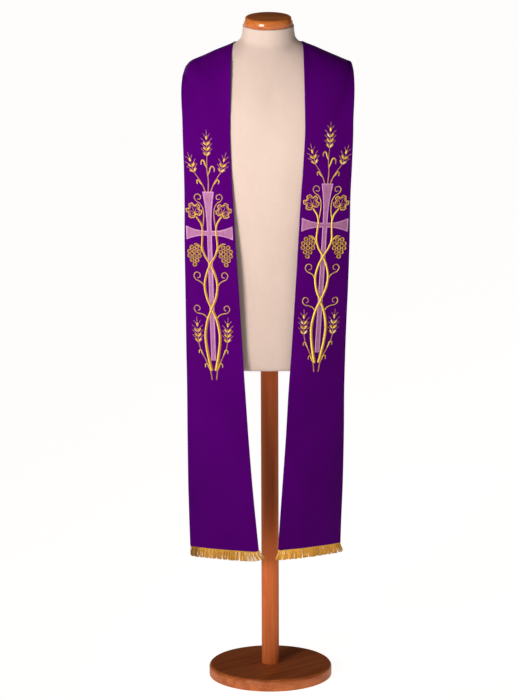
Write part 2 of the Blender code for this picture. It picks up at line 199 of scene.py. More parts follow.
# ---- the stole
STOLE_WALL = 0.002
FORM_CLEARANCE = 0.0006
# One row for each section across a half: its inner edge, its outer edge, and how far
# its middle stands out from the line between them.
Section = namedtuple("Section", "in_x in_y in_z out_x out_y out_z bulge")
BACK = in_metres(Section, 7, [
    (0.2, 91, 1504, 0.2, 109, 1346, 0),
    (20, 87, 1514, 40, 108, 1381, 0),
    (40, 77, 1525, 78, 105, 1413, 0),
    (57, 60, 1534, 115, 97, 1440, 0),
    (69, 40, 1540, 149, 78, 1462, 0),
    (76.5, 20, 1543, 176.5, 46, 1477, 0),
])
RIGHT_SHOULDER = in_metres(Section, 7, [
    (81, 0, 1542, 192.5, 11, 1485, 0),
    (84, -25, 1537, 200, -18, 1475, 0),
    (86, -48, 1523, 203.2, -44, 1458, 0),
    (87.5, -74, 1500, 204.5, -63, 1433, 0),
    (88, -94, 1461, 203.6, -73, 1404, 1),
    (88.5, -109, 1413, 202, -78, 1373, 2),
    (89.5, -120, 1345, 201, -82, 1328, 4),
])
LEFT_SHOULDER = in_metres(Section, 7, [
    (79, 0, 1547, 192.5, 11, 1498, 0),
    (80.5, -25, 1541, 198.5, -18, 1486, 0),
    (81.5, -48, 1525, 200.8, -42, 1464, 0),
    (82, -74, 1500, 201, -61, 1434, 0),
    (82.5, -94, 1461, 199.7, -72, 1404, 1),
    (83.5, -109, 1413, 198, -78, 1373, 2),
    (84, -120, 1345, 197, -82, 1328, 4),
])
RIGHT_FRONT = in_metres(Section, 7, [
    (88, -127, 1268, 199, -85, 1262, 6),
    (84, -129, 1192, 198, -87, 1190, 7),
    (78, -129.5, 1078, 198.5, -85, 1078, 7),
    (71, -129.5, 964, 197.5, -82, 964, 8),
    (64.5, -130, 848, 197, -79, 848, 8),
    (57.5, -130, 732, 196, -76, 732, 9),
    (50, -130.5, 615, 196, -74, 615, 9),
    (41, -131, 498, 195.5, -73, 498, 8),
    (32, -131.5, 400, 193.5, -73, 400, 7),
    (26.5, -132, 343, 192, -73, 343, 7),
])
LEFT_FRONT = in_metres(Section, 7, [
    (79.5, -127, 1268, 194, -87, 1262, 6),
    (74, -129, 1192, 190.5, -87, 1190, 7),
    (67, -129.5, 1078, 188.5, -81, 1078, 8),
    (60, -129.5, 964, 185, -73, 964, 9),
    (52.5, -130, 848, 180.5, -67, 848, 10),
    (44, -130, 732, 177.5, -61, 732, 11),
    (37, -130.5, 615, 176.5, -56, 615, 12),
    (28.5, -131, 498, 174.5, -51, 498, 12),
    (21.5, -131.5, 401, 171, -47, 400, 9),
    (18, -132, 346, 169.5, -45, 343, 5),
])

# The cloth's cells, which lie close together beside its side edges and its hem, at
# these distances from them.
CLOTH_CELL = 0.005
INNER_COLUMNS = 26
EDGE_STEPS = (0.0, 0.0003, 0.0010, 0.0035, 0.0080, 0.0098)
HEM_STEPS = (0.0080, 0.0062, 0.0046, 0.0032, 0.0020, 0.0010, 0.0003, 0.0)
TURNING_WIDTH = 0.0080
TURNING_FADE = 0.0018
TURNING_HEIGHT = 0.00035
# The rounded corners at the inner and the outer end of each half's hem.
Corner = namedtuple("Corner", "across up")
HEM_CORNERS = {
    "right": (Corner(0.0150, 0.0066), Corner(0.0070, 0.0060)),
    "left": (Corner(0.0070, 0.0050), Corner(0.0045, 0.0045)),
}
HEM_POINTS = 128
# The wall thins by this share at the seam in the nape, over this reach beside it.
NAPE_GROOVE = 0.45
NAPE_GROOVE_REACH = 0.0016

# Soft creases, listed by half: where one starts and ends along the half from
# the nape seam, its half width, how far it stands out, or in where that is negative,
# and its share across from the inner edge at both ends. Lengths are in millimetres.
Crease = namedtuple("Crease", "start end width depth from_share to_share")
CREASES = {
    "right": in_metres(Crease, 4, [
        (20, 260, 20, 1.0, 0.55, 0.38),
        (100, 340, 16, 1.2, 0.82, 0.70),
        (360, 720, 22, 1.0, 0.30, 0.22),
        (620, 1200, 26, 1.6, 0.84, 0.66),
        (780, 1400, 30, -1.4, 0.26, 0.36),
        (1020, 1470, 24, 1.8, 0.58, 0.78),
        (1150, 1470, 20, 1.2, 0.12, 0.08),
    ]),
    "left": in_metres(Crease, 4, [
        (30, 220, 22, 1.1, 0.40, 0.60),
        (120, 380, 18, 1.0, 0.24, 0.34),
        (400, 860, 22, 1.2, 0.74, 0.86),
        (700, 1300, 28, 1.5, 0.34, 0.20),
        (880, 1440, 26, -1.5, 0.60, 0.56),
        (1080, 1470, 22, 1.8, 0.86, 0.74),
        (1220, 1470, 20, 1.2, 0.30, 0.40),
    ]),
}
CREASE_POWER = 0.7

# ---- the fringe
# Strands hang in rows: how many, and how far in front of the hem's middle.
StrandRow = namedtuple("StrandRow", "count forward")
STRAND_ROWS = [StrandRow(72, -0.0009), StrandRow(98, 0.0005)]
STRAND_REACH = 0.0252
STRAND_SHORTER = 0.0026
STRAND_TWIST = 0.0046
PLY_OFFSET = 0.00050
PLY_RADIUS = 0.00056
PLY_SIDES = 5
STRAND_CELL = 0.00070
# By chance, how far each strand is from its place along the hem, as a share of their
# pitch, and forward, how far it leans, sways and bellies out, and how bright it is.
STRAND_STRAY = 0.25
STRAND_FORWARD = 0.0003
STRAND_LEAN = 0.0006
STRAND_SWAY = 0.0008
STRAND_BELLY = (0.0001, 0.0007)
STRAND_SHINE = (0.66, 1.30)
LEAN_POWER = 1.6
SWAY_WAVES = 1.1
TIP_START = 0.8
TIP_FADE = 1.6
# A strand or cord narrows to this share at its ends.
TUBE_END = 0.55
# The strands spread at both ends of a hem, by these reaches at the tips.
Fan = namedtuple("Fan", "inner outer")
FANS = {"right": Fan(0.0165, 0.0005), "left": Fan(0.0085, 0.0085)}
FAN_SHARE = 0.18
FAN_POWER = 1.2
HEADING_HEIGHT = 0.0024
HEADING_PERIOD = 0.0026
HEADING_STEPS = 8
HEADING_RADIUS = 0.00055
HEADING_FORWARD = 0.0009
HEADING_SWELL = 0.0003
HEADING_INSET = 0.004
HEADING_TOP = 0.0002
HEADING_WAVE = 0.45
TAPE_TOP = 0.0045
TAPE_WALL = 0.0005
TAPE_INSET = 0.012
TAPE_CELLS = 96
TAPE_STITCH = 0.002
# Each channel of the gold, and the power by which it follows the brightness.
FRINGE_GOLD = ((0.820, 1.0), (0.410, 1.25), (0.050, 1.5))

# A parting is a slit between strands: its width at the tips, in millimetres, and its
# share along the hem from the inner end.
Parting = namedtuple("Parting", "width share")
PARTINGS = {
    "right": in_metres(Parting, 1, [
        (1.6, 0.27), (2.2, 0.44), (3.6, 0.52), (2.0, 0.60), (2.4, 0.67), (2.6, 0.86),
    ]),
    "left": in_metres(Parting, 1, [
        (2.0, 0.16), (2.4, 0.37), (2.0, 0.47), (2.2, 0.71), (2.4, 0.93),
    ]),
}
PARTING_REACH = 0.028

# Painted light and shade along the hem, from the inner end to the outer: the fringe is painted
# brighter towards the inner end and painted in shade at the outer end.
PaintedHemLight = namedtuple("PaintedHemLight", "share brightness")
FRINGE_PAINTED_LIGHT = {
    "right": [
        PaintedHemLight(0.0, 1.12), PaintedHemLight(0.25, 1.05), PaintedHemLight(0.84, 0.98), PaintedHemLight(0.89, 0.50), PaintedHemLight(1.0, 0.46),
    ],
    "left": [
        PaintedHemLight(0.0, 1.35), PaintedHemLight(0.30, 1.35), PaintedHemLight(0.52, 1.10), PaintedHemLight(0.90, 1.00), PaintedHemLight(1.0, 0.70),
    ],
}

# ---- the embroidery
CROSS_PLACE = {"right": (-0.140, 1.109), "left": (0.1308, 1.127)}
CROSS_LEAN = {"right": math.radians(1.5), "left": math.radians(-3.5)}
CROSS_HALF_WAIST = 5.5
CROSS_FLARE = 2.2
FIELD_HEIGHTS = (0.50, 0.53)
FIELD_CELL = 2.0
FIELD_INSET = 0.3
FIELD_SUNK = 0.05
BORDER_INSET = 1.3
RIBBON_SUNK = 0.08
SMOOTH_CELLS = 16
Limb = namedtuple("Limb", "across up length end_half_width")
CROSS_LIMBS = [
    Limb(0, 1, 98.0, 13.8),
    Limb(1, 0, 55.0, 16.5),
    Limb(0, -1, 304.0, 5.8),
    Limb(-1, 0, 55.0, 16.5),
]

# Colours of thread, in linear light. Most gold ribbons are laid in two tones: a painted lit side
# and a painted shaded side.
# A painted white glint, laid on the lit side of some grains.
PAINTED_GLINT = (1.000, 0.940, 0.700)
# The painted lit side of the gold ribbons.
PAINTED_LIGHT_GOLD = (0.980, 0.700, 0.100)
GOLD = (0.780, 0.400, 0.028)
# The painted shaded side of the gold ribbons.
PAINTED_SHADE_GOLD = (0.470, 0.195, 0.012)
COPPER = (0.520, 0.220, 0.065)
MAUVE = (0.110, 0.022, 0.030)
PINK = (0.600, 0.280, 0.500)
LILAC = (0.385, 0.137, 0.295)

# A hook is a curled blade that grows from a stem: its share of the way up the stem,
# its side, 1 outwards and -1 inwards, and its size.
Hook = namedtuple("Hook", "share side size")
HOOK_LINE = [
    (0, 0), (1.5, 5.0), (4.0, 10.0), (5.0, 15.0), (8.0, 19.0), (11.5, 17.5), (12.8, 13.0),
    (12.4, 8.0),
]

# An ear of wheat: the points of its stem, how far the ear leans outwards, in
# degrees, how many pairs of grains it has, whether there is one on each side, and
# its hooks.
Ear = namedtuple("Ear", "stem lean pairs both_sides hooks")
EARS = [
    Ear(
        [(0, 96), (1.5, 124), (-1.0, 152), (0, 180)], 0.0, 3, False,
        [Hook(0.46, 1, 1.20), Hook(0.66, -1, 1.05)],
    ),
    Ear([(6, 95), (11, 110), (21, 128), (31, 142)], 17.0, 2, True, [Hook(0.34, 1, 0.85)]),
    Ear(
        [(5, -352), (9, -326), (19, -302), (29, -282), (34, -262)], 3.0, 3, True,
        [Hook(0.26, 1, 0.90), Hook(0.64, 1, 0.80)],
    ),
]
GRAIN_LENGTH = 11.0
GRAIN_PITCH = 12.0
GRAIN_START = 2.0
GRAIN_ASIDE = 0.8
GRAIN_TURN = math.radians(37)
# The awns of a grain and of the ear's tip: how far above the foot of the grain they
# spring, their share of the full length, and their lean away from it, in radians.
AWN_LENGTH = 13.5
AWN_OUT = 3.0
Awn = namedtuple("Awn", "rise share spread")
GRAIN_AWNS = [Awn(-3.0, 0.85, 0.16), Awn(3.2, 1.25, 0.16)]
TIP_AWN = Awn(4.0, 1.10, 0.62)

VINE_CELL = 1.5
VINE_HEIGHT = 1.9
VINE_OVER_REACH = 9.0
# A vine stem, one on each side: its points, its half width at both ends, and the
# heights at which one side's stem lies over the other's, taken in turn.
Vine = namedtuple("Vine", "points start_half end_half over")
VINES = [
    Vine(
        [
            (-4.5, -330), (-10, -304), (-15, -274), (-17, -242), (-11, -208), (0, -180),
            (11, -152), (15, -124), (10, -98), (0, -74), (-12, -54), (-18, -34),
            (-17, -12), (-16, 8), (-19, 22), (-25, 32), (-31, 40),
        ],
        3.6, 2.0, (-180, -74),
    ),
    Vine([(-17, -44), (-22, -33), (-30, -26), (-38, -27)], 1.9, 1.3, ()),
]
# Tendrils, one on each side, by their points from the vine to the end of the curl.
TENDRILS = [
    [
        (-10, -206), (-17, -196), (-26, -192), (-36, -190), (-42, -182), (-38, -173),
        (-30, -175), (-29, -182), (-34, -185),
    ],
    [
        (14.5, -133), (20, -120), (28, -114), (36, -110), (40, -101), (34, -93),
        (26, -97), (27, -105), (33, -106),
    ],
    [
        (-16.5, 8), (-13.5, 24), (-12, 42), (-13.5, 58), (-20, 70), (-29, 76), (-33, 85),
        (-27, 92), (-19, 88), (-20, 80), (-27, 81),
    ],
]
# Grapes hang in rows under each arm: how many in each row, from the top.
GRAPE_ROWS = (2, 3, 3, 2, 1)
GRAPE_PITCH = 11.6
GRAPE_DROP = GRAPE_PITCH * 0.88
GRAPE_TOP = (-37, -34)
GRAPE_RADIUS = 5.2
BERRY_RADIUS = GRAPE_RADIUS * 0.80
BERRY_RING_RADIUS = GRAPE_RADIUS * 0.84
BERRY_RING_POINTS = 18
# A leaf's edge, from its tip round to its stalk: the angle and the reach.
LEAF_EDGE = [
    (0, 1.02), (16, 0.88), (30, 0.68), (42, 0.80), (56, 0.95), (72, 0.84), (88, 0.62),
    (100, 0.74), (116, 0.86), (132, 0.80), (148, 0.74), (160, 0.62), (172, 0.36),
    (180, 0.22),
]
LEAF_SCALLOPS = 18
LEAF_SCALLOP_DEPTH = 0.13
LEAF_PLACE = (-34.5, 51)
LEAF_RADIUS = 21.5
LEAF_TURN = math.radians(-24)
# The second row of gold: its middle's share of the way to the tip, and its size.
LEAF_INNER_RISE = 0.04
LEAF_INNER_SIZE = 0.74
# A vein: its angle from the tip, in degrees, and its share of the leaf's radius.
Vein = namedtuple("Vein", "angle reach")
LEAF_VEINS = [Vein(0, 0.60), Vein(56, 0.60), Vein(114, 0.44), Vein(-56, 0.60), Vein(-114, 0.44)]
VEIN_FOOT = 0.22
VEIN_BEND = 1.2


# ---- lines and tables
def around(line, k):
    """The entries before and after one of a line, or the entry itself at an end."""
    return line[max(k - 1, 0)], line[min(k + 1, len(line) - 1)]


def length_of(line):
    """The length of a line of points."""
    return sum((b - a).length for a, b in zip(line, line[1:]))


def blend_rows(rows, place):
    """The values of a table at a place between its rows, on a Catmull-Rom curve."""
    last = len(rows) - 1
    low = min(int(place), last - 1)
    t = place - low
    mixed = []
    for a, b, c, d in zip(*[rows[min(max(low + k, 0), last)] for k in (-1, 0, 1, 2)]):
        slope_b = (c - a) / 2
        slope_c = (d - b) / 2
        bend = (2 * t**3 - 3 * t**2 + 1) * b + (t**3 - 2 * t**2 + t) * slope_b
        mixed.append(bend + (3 * t**2 - 2 * t**3) * c + (t**3 - t**2) * slope_c)
    return mixed


def ease(share):
    """A smooth step from 0 to 1."""
    share = min(max(share, 0.0), 1.0)
    return share * share * (3 - 2 * share)


# ---- sewn meshes
class Work:
    """The points, faces, stitch coordinates and thread colours of one piece."""

    def __init__(self):
        self.points = []
        self.faces = []
        self.stitches = []
        self.colours = []

    def grid(self, rows, round_rows=False, flip=False):
        """Join rows of points by faces, each row closed into a ring or not.

        Each point comes with its stitch coordinates and, on thread, its colour.
        """
        first = len(self.points)
        width = len(rows[0])
        for row in rows:
            for point, mark, *colour in row:
                self.points.append(point)
                self.stitches.append(mark)
                self.colours += colour
        for i in range(len(rows) - 1):
            for k in range(width if round_rows else width - 1):
                a = first + i * width + k
                b = first + i * width + (k + 1) % width
                face = (a, b, b + width, a + width)
                self.faces.append(face[::-1] if flip else face)
        return first

    def tube(self, centres, outward, radius, sides, colours):
        """Add a tube round a line of points, closed at both ends."""
        rows = []
        along = 0.0
        last = len(centres) - 1
        for k, (centre, colour) in enumerate(zip(centres, colours)):
            behind, ahead = around(centres, k)
            beside = (ahead - behind).cross(outward).normalized()
            away = beside.cross(ahead - behind).normalized()
            size = radius * (TUBE_END if k in (0, last) else 1.0)
            row = []
            for s in range(sides):
                turn = 2 * math.pi * s / sides
                point = centre + (beside * math.cos(turn) + away * math.sin(turn)) * size
                row.append((point, (s / sides * radius * 6, along), colour))
            rows.append(row)
            along += (ahead - centre).length
        first = self.grid(rows, round_rows=True)
        self.faces.append(tuple(range(first, first + sides))[::-1])
        self.faces.append(tuple(range(first + last * sides, first + (last + 1) * sides)))

    def piece(self, name, surface, slot, node=None, weld=0.0):
        """Make the piece, with its stitch map and its colours, for a CAD node or none."""
        mesh = bpy.data.meshes.new(name)
        mesh.from_pydata([tuple(p) for p in self.points], [], self.faces)
        corners = [self.stitches[loop.vertex_index] for loop in mesh.loops]
        layer = mesh.uv_layers.new(name="stitch")
        layer.data.foreach_set("uv", [value for pair in corners for value in pair])
        if self.colours:
            threads = mesh.color_attributes.new("thread", "FLOAT_COLOR", "POINT")
            threads.data.foreach_set("color", [v for c in self.colours for v in (*c, 1.0)])
        if weld:
            shape = bmesh.new()
            shape.from_mesh(mesh)
            bmesh.ops.remove_doubles(shape, verts=shape.verts, dist=weld)
            shape.to_mesh(mesh)
            shape.free()
        mesh.shade_smooth()
        mesh.materials.append(surface)
        thing = add_object(name, mesh)
        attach(thing, "root")
        if node:
            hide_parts(node)
        return thing


def add_object(name, data):
    """An object of the scene."""
    thing = bpy.data.objects.new(name, data)
    bpy.context.scene.collection.objects.link(thing)
    return thing


# ---- shader nodes
class Looks:
    """The nodes of a material or of the sky, and short ways to add to them."""

    def __init__(self, owner, **fixed):
        owner.use_nodes = True
        self.owner = owner
        self.nodes = owner.node_tree.nodes
        self.shader = self.nodes.get("Principled BSDF") or self.nodes["Background"]
        self.fill(self.shader, **fixed)

    def fill(self, node, **inputs):
        """Give a node its inputs, each a value or another node's output to join.

        An input goes by its name, or as at0, at1 and so on by its place.
        """
        for key, value in inputs.items():
            name = int(key[2:]) if key.startswith("at") else key.replace("_", " ")
            socket = node.inputs[name]
            if isinstance(value, bpy.types.NodeSocket):
                self.owner.node_tree.links.new(value, socket)
            else:
                socket.default_value = (*value, 1.0) if socket.type == "RGBA" else value

    def add(self, kind, settings=None, **inputs):
        """The outputs of a new node."""
        made = self.nodes.new("ShaderNode" + kind)
        for key, value in (settings or {}).items():
            setattr(made, key, value)
        self.fill(made, **inputs)
        return made.outputs

    def noise(self, source, scale, detail=2.0):
        """The grey value of a noise texture, stretched by a scale on each axis."""
        place = self.add("Mapping", Vector=source, Scale=scale)["Vector"]
        return self.add("TexNoise", Vector=place, Scale=1.0, Detail=detail)["Fac"]

    def bands(self, source, direction, period, distortion, detail_scale):
        """The grey value of straight bands that repeat at a period in metres."""
        return self.add(
            "TexWave", {"bands_direction": direction},
            Vector=source, Scale=math.pi / 10 / period, Distortion=distortion,
            Detail=2.0, Detail_Scale=detail_scale,
        )["Fac"]

    def plus(self, first, second):
        """The sum of two grey values."""
        return self.add("Math", {"operation": "ADD"}, at0=first, at1=second)[0]

    def times(self, first, second):
        """The product of two grey values."""
        return self.add("Math", {"operation": "MULTIPLY"}, at0=first, at1=second)[0]

    def mix(self, factor, first, second, blend="MIX"):
        """A mixed colour."""
        return self.add(
            "Mix", {"data_type": "RGBA", "blend_type": blend},
            at0=factor, at6=first, at7=second,
        )[2]

    def span(self, value, low, high, to_low=0.0, to_high=1.0):
        """A grey value carried from one range to another."""
        return self.add(
            "MapRange", Value=value, From_Min=low, From_Max=high, To_Min=to_low, To_Max=to_high
        )["Result"]

    def finish(self, colour, rough, height, strength, distance):
        """The material, with its colour, roughness and relief joined to its shader."""
        normal = self.add("Bump", Height=height, Strength=strength, Distance=distance)["Normal"]
        self.fill(self.shader, Base_Color=colour, Roughness=rough, Normal=normal)
        return self.owner


def cloth_material(cloth):
    """A plain-woven cloth: crossing threads, uneven yarn and a cloudy dye."""
    looks = Looks(
        bpy.data.materials.new(cloth.name),
        Specular_IOR_Level=CLOTH_SPECULAR, Specular_Tint=cloth.light,
        Sheen_Weight=cloth.sheen, Sheen_Roughness=CLOTH_SHEEN_ROUGHNESS, Sheen_Tint=cloth.light,
    )
    place = looks.add("TexCoord")["UV"]
    warp = looks.bands(place, "X", cloth.period, distortion=0.25, detail_scale=40)
    weft = looks.bands(place, "Y", cloth.period * WEFT_SHARE, distortion=0.25, detail_scale=40)
    threads = looks.times(warp, weft)
    yarn = looks.plus(looks.noise(place, (*YARN, 1)), looks.noise(place, (*YARN[::-1], 1)))
    shade = looks.plus(looks.noise(place, DYE_CLOUDS, detail=3.0), looks.times(yarn, 0.4))
    shade = looks.span(looks.plus(shade, looks.times(threads, 0.6)), 0.7, 1.6)
    return looks.finish(
        looks.mix(shade, cloth.dark, cloth.light),
        looks.span(yarn, 0.6, 1.4, cloth.roughness - 0.06, cloth.roughness + 0.06),
        height=looks.plus(threads, looks.times(yarn, cloth.slub)),
        strength=0.7, distance=cloth.relief,
    )


def thread_material(thread):
    """Lustrous thread laid side by side, in the colours held by the mesh."""
    looks = Looks(
        bpy.data.materials.new(thread.name),
        Specular_IOR_Level=thread.specular, Specular_Tint=thread.glint,
        Sheen_Weight=thread.sheen, Sheen_Roughness=THREAD_SHEEN_ROUGHNESS, Sheen_Tint=thread.glint,
    )
    place = looks.add("TexCoord")["UV"]
    base = looks.add("Attribute", {"attribute_name": "thread"})["Color"]
    strands = looks.bands(place, "Y", thread.period, distortion=0.8, detail_scale=8)
    fibre = looks.noise(place, THREAD_FIBRE)
    shade = looks.plus(looks.times(strands, 0.5), looks.noise(place, THREAD_PATCHES))
    dull = looks.mix(1.0, base, THREAD_SHADE, "MULTIPLY")
    return looks.finish(
        looks.mix(looks.span(shade, 0.40, 0.95), dull, base),
        looks.span(fibre, 0.3, 0.7, thread.roughness - 0.08, thread.roughness + 0.08),
        height=looks.plus(strands, looks.times(fibre, 0.5)),
        strength=0.6, distance=thread.relief,
    )


def wood_material(wood):
    """Stained and varnished wood, with fine grain and a slow figure."""
    looks = Looks(
        bpy.data.materials.new(wood.name), Specular_IOR_Level=WOOD_SPECULAR,
        Coat_Weight=wood.varnish, Coat_Roughness=VARNISH_ROUGHNESS, Coat_IOR=VARNISH_IOR,
    )
    source = looks.add("TexCoord")["Object"]
    turn = (0.0, 0.0, math.radians(wood.turn))
    place = looks.add("Mapping", Vector=source, Rotation=turn)["Vector"]
    figure = looks.times(looks.noise(place, wood.figure, detail=3.0), 3.0)
    rings = looks.add(
        "TexNoise", {"noise_dimensions": "4D"},
        Vector=looks.add("Mapping", Vector=place, Scale=wood.grain)["Vector"], W=figure,
        Scale=1.0, Detail=5.0, Roughness=0.6,
    )["Fac"]
    pores = looks.noise(place, [4 * g for g in wood.grain])
    shade = looks.plus(looks.times(rings, 0.75), looks.times(pores, 0.25))
    return looks.finish(
        looks.mix(looks.span(shade, 0.36, 0.64), wood.dark, wood.light),
        looks.span(pores, 0.3, 0.7, WOOD_ROUGHNESS - 0.06, WOOD_ROUGHNESS + 0.06),
        height=pores, strength=0.25, distance=0.0002,
    )


# ---- turned parts
def quarter_round(radius, height, across, up, start, end, steps=12):
    """Points of a quarter ellipse of a turned profile, about (radius, height)."""
    points = []
    for k in range(steps + 1):
        angle = start + (end - start) * k / steps
        points.append((radius + across * math.cos(angle), height + up * math.sin(angle)))
    return points


def turned(name, node, profile, surface, place=Matrix(), segments=144):
    """A turned solid about Z from (radius, height) points, bottom to top, then placed."""
    turns = [2 * math.pi * k / segments for k in range(segments)]
    rows = []
    for radius, height in [(0.0, profile[0][1]), *profile, (0.0, profile[-1][1])]:
        ring = [Vector((math.cos(t) * radius, math.sin(t) * radius, height)) for t in turns]
        rows.append([(p, (p.x, p.z)) for p in (place @ point for point in ring)])
    work = Work()
    work.grid(rows, round_rows=True)
    thing = work.piece(name, surface, "turned_wood", node, weld=1e-6)
    thing.data.set_sharp_from_angle(angle=SHARP_ANGLE)


def make_stand():
    """The base disc, the pole and the tilted cap, at the sizes of their CAD nodes."""
    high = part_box("base")[1]
    profile = quarter_round(
        high.x - BASE_EDGE, BASE_EDGE, BASE_EDGE, BASE_EDGE, -math.pi / 2, 0, 4
    )
    profile += quarter_round(
        high.x - BASE_ROUND_ACROSS, high.z - BASE_ROUND_UP * math.sin(BASE_ROUND_END),
        BASE_ROUND_ACROSS, BASE_ROUND_UP, 0, BASE_ROUND_END,
    )
    profile.append((profile[-1][0] - BASE_RIM_FLAT, high.z))
    turned("turned_base", "base", profile, wood_material(BASE_WOOD))
    low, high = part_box("pole")
    profile = [(high.x, low.z + (high.z - low.z) * k / 12) for k in range(13)]
    turned("turned_pole", "pole", profile, wood_material(POLE_WOOD), segments=96)
    profile = quarter_round(
        CAP_RADIUS - CAP_EDGE_ACROSS, CAP_EDGE_UP, CAP_EDGE_ACROSS, CAP_EDGE_UP,
        -math.pi / 2, 0,
    )
    profile += quarter_round(
        CAP_RADIUS - CAP_ROUND_ACROSS, CAP_HEIGHT - CAP_ROUND_UP,
        CAP_ROUND_ACROSS, CAP_ROUND_UP, 0, math.pi / 2,
    )
    place = Matrix.Translation((0.0, 0.0, NECK_TOP)) @ Matrix.Rotation(NECK_TILT, 4, "X")
    place @= Matrix.Translation((0.0, 0.0, SEAM_GAP))
    turned("turned_neck_cap", "neck_cap", profile, wood_material(CAP_WOOD), place)


# ---- the dress form
def form_point(ring, angle):
    """A point of a ring of the form. Angle 0 is at +X and a quarter turn at +Y."""
    power = 2 / ring.exponent
    across = math.copysign(abs(math.cos(angle)) ** power, math.cos(angle))
    along = abs(math.sin(angle)) ** power
    behind = math.sin(angle) > 0
    depth = ring.back if behind else -ring.front
    z_end = ring.z_back if behind else ring.z_front
    height = ring.z_side + (z_end - ring.z_side) * abs(math.sin(angle)) ** ring.ease
    return Vector((ring.half_width * across, depth * along, height))


def make_form():
    """The jersey-covered torso and neck, and its surface as a tree to lay cloth on."""
    angles = [2 * math.pi * k / FORM_SEGMENTS for k in range(FORM_SEGMENTS)]
    rows = []
    for level in range((len(FORM_RINGS) - 1) * FORM_STEPS + 1):
        ring = Ring(*blend_rows(FORM_RINGS, level / FORM_STEPS))
        rows.append([form_point(ring, angle) for angle in angles])
    top = Vector((0.0, 0.0, NECK_TOP))
    bottom = Vector((0.0, 0.0, FORM_RINGS[-1].z_side))
    above = [[top.lerp(p, share) for p in rows[0]] for share in TOP_SHARES]
    under = [[bottom.lerp(p, share) for p in rows[-1]] for share in UNDER_SHARES]
    rows = above + rows + under
    spots = []
    down = [0.0] * FORM_SEGMENTS
    for before, row in zip(rows[:1] + rows, rows):
        down = [d + (p - over).length for d, p, over in zip(down, row, before)]
        across = [math.atan2(p.y, p.x) * FORM_MEAN_RADIUS for p in row]
        spots.append(list(zip(row, zip(across, down))))
    work = Work()
    work.grid(spots, round_rows=True, flip=True)
    jersey = cloth_material(JERSEY)
    thing = work.piece("covered_form", jersey, "form_cloth", "form_torso", weld=1e-6)
    return thing, BVHTree.FromPolygons(work.points, work.faces)


# ---- the cloth
def section_places(rows):
    """Places down a half between its rows, each with its distance from the hem.

    The distance is told only near the hem, where the places lie close together.
    """
    middles = [(Vector(section[:3]) + Vector(section[3:6])) / 2 for section in rows]
    places = []
    for k, (start, end) in enumerate(zip(middles, middles[1:])):
        length = (end - start).length
        steps = max(2, round(length / CLOTH_CELL))
        places += [k + step / steps for step in range(steps)]
    near_hem = [(len(rows) - 1 - distance / length, distance) for distance in HEM_STEPS]
    return [(place, math.inf) for place in places if place < near_hem[0][0]] + near_hem


def corner_dip(distance, reach, depth):
    """How far a rounded corner is drawn in, at a distance along the edge into it."""
    off = max(1 - distance / reach, 0.0)
    return depth * (1 - math.sqrt(1 - off * off))


def turning_height(distance):
    """How much the cloth turned in behind it lifts the face beside an edge."""
    return TURNING_HEIGHT * (1 - ease((distance - TURNING_WIDTH) / TURNING_FADE))


def section_point(section, share, side):
    """A point across a section, on the body side of the cloth."""
    inner = Vector(section[:3])
    edge = Vector(section[3:6]) - inner
    out = Vector((edge.y, -edge.x, 0.0)).normalized()
    point = inner + edge * share + out * section.bulge * 4 * share * (1 - share)
    point.x *= side
    return point


def laid_on(tree, point):
    """A point moved out to the clearance of the form, if it is nearer than that."""
    near, normal, _, _ = tree.find_nearest(point)
    if (point - near).dot(normal) < FORM_CLEARANCE:
        return near + normal * FORM_CLEARANCE
    return point


def grid_normals(grid, side):
    """The direction away from the body at each point of a grid."""
    normals = []
    for i, line in enumerate(grid):
        above, below = around(grid, i)
        row = []
        for k in range(len(line)):
            before, after = around(line, k)
            row.append((below[k] - above[k]).cross(after - before).normalized() * side)
        normals.append(row)
    return normals


def crease_height(creases, along, share, width):
    """How far the creases move the cloth out at a point."""
    height = 0.0
    for crease in creases:
        t = (along - crease.start) / (crease.end - crease.start)
        if 0 < t < 1:
            middle = crease.from_share + (crease.to_share - crease.from_share) * t
            off = (share - middle) * width / crease.width
            height += crease.depth * math.exp(-off * off) * math.sin(math.pi * t) ** CREASE_POWER
    return height


def steps_across(room):
    """Distances across a row of cloth, close together beside both edges."""
    inside = room - 2 * EDGE_STEPS[-1]
    steps = list(EDGE_STEPS)
    steps += [EDGE_STEPS[-1] + inside * k / INNER_COLUMNS for k in range(1, INNER_COLUMNS)]
    return steps + [room - step for step in reversed(EDGE_STEPS)]


def lay_cloth(word, rows, side, form_tree):
    """A half's rows of points on the form, their stitch marks and shares of the wall.

    With them comes the width of the last row, at the hem.
    """
    inner, outer = HEM_CORNERS[word]
    grid = []
    stitches = []
    walls = []
    widths = []
    middles = []
    for place, to_hem in section_places(rows):
        section = Section(*blend_rows(rows, place))
        start, middle, end = [section_point(section, share, side) for share in (0.0, 0.5, 1.0)]
        middles.append(middle)
        along = length_of(middles)
        width = (end - start).length
        inset = corner_dip(to_hem, inner.up, inner.across)
        room = width - inset - corner_dip(to_hem, outer.up, outer.across)
        groove = NAPE_GROOVE * (1 - ease(along / NAPE_GROOVE_REACH))
        row = []
        marks = []
        wall = []
        for step in steps_across(room):
            point = section_point(section, (inset + step) / width, side)
            row.append(laid_on(form_tree, point))
            marks.append((inset + step, along))
            near = min(step, room - step, to_hem)
            share = 1 - corner_dip(near, STOLE_WALL / 2, 1.0)
            wall.append(share * (1 - groove + turning_height(near) / STOLE_WALL))
        grid.append(row)
        stitches.append(marks)
        walls.append(wall)
        widths.append(width)
    for row, marks, out, width in zip(grid, stitches, grid_normals(grid, side), widths):
        for k, (across, along) in enumerate(marks):
            height = crease_height(CREASES[word], along, across / width, width)
            row[k] = laid_on(form_tree, row[k] + out[k] * height)
    for point in grid[0]:
        point.x = side * SEAM_GAP / 2
    return grid, stitches, walls, width


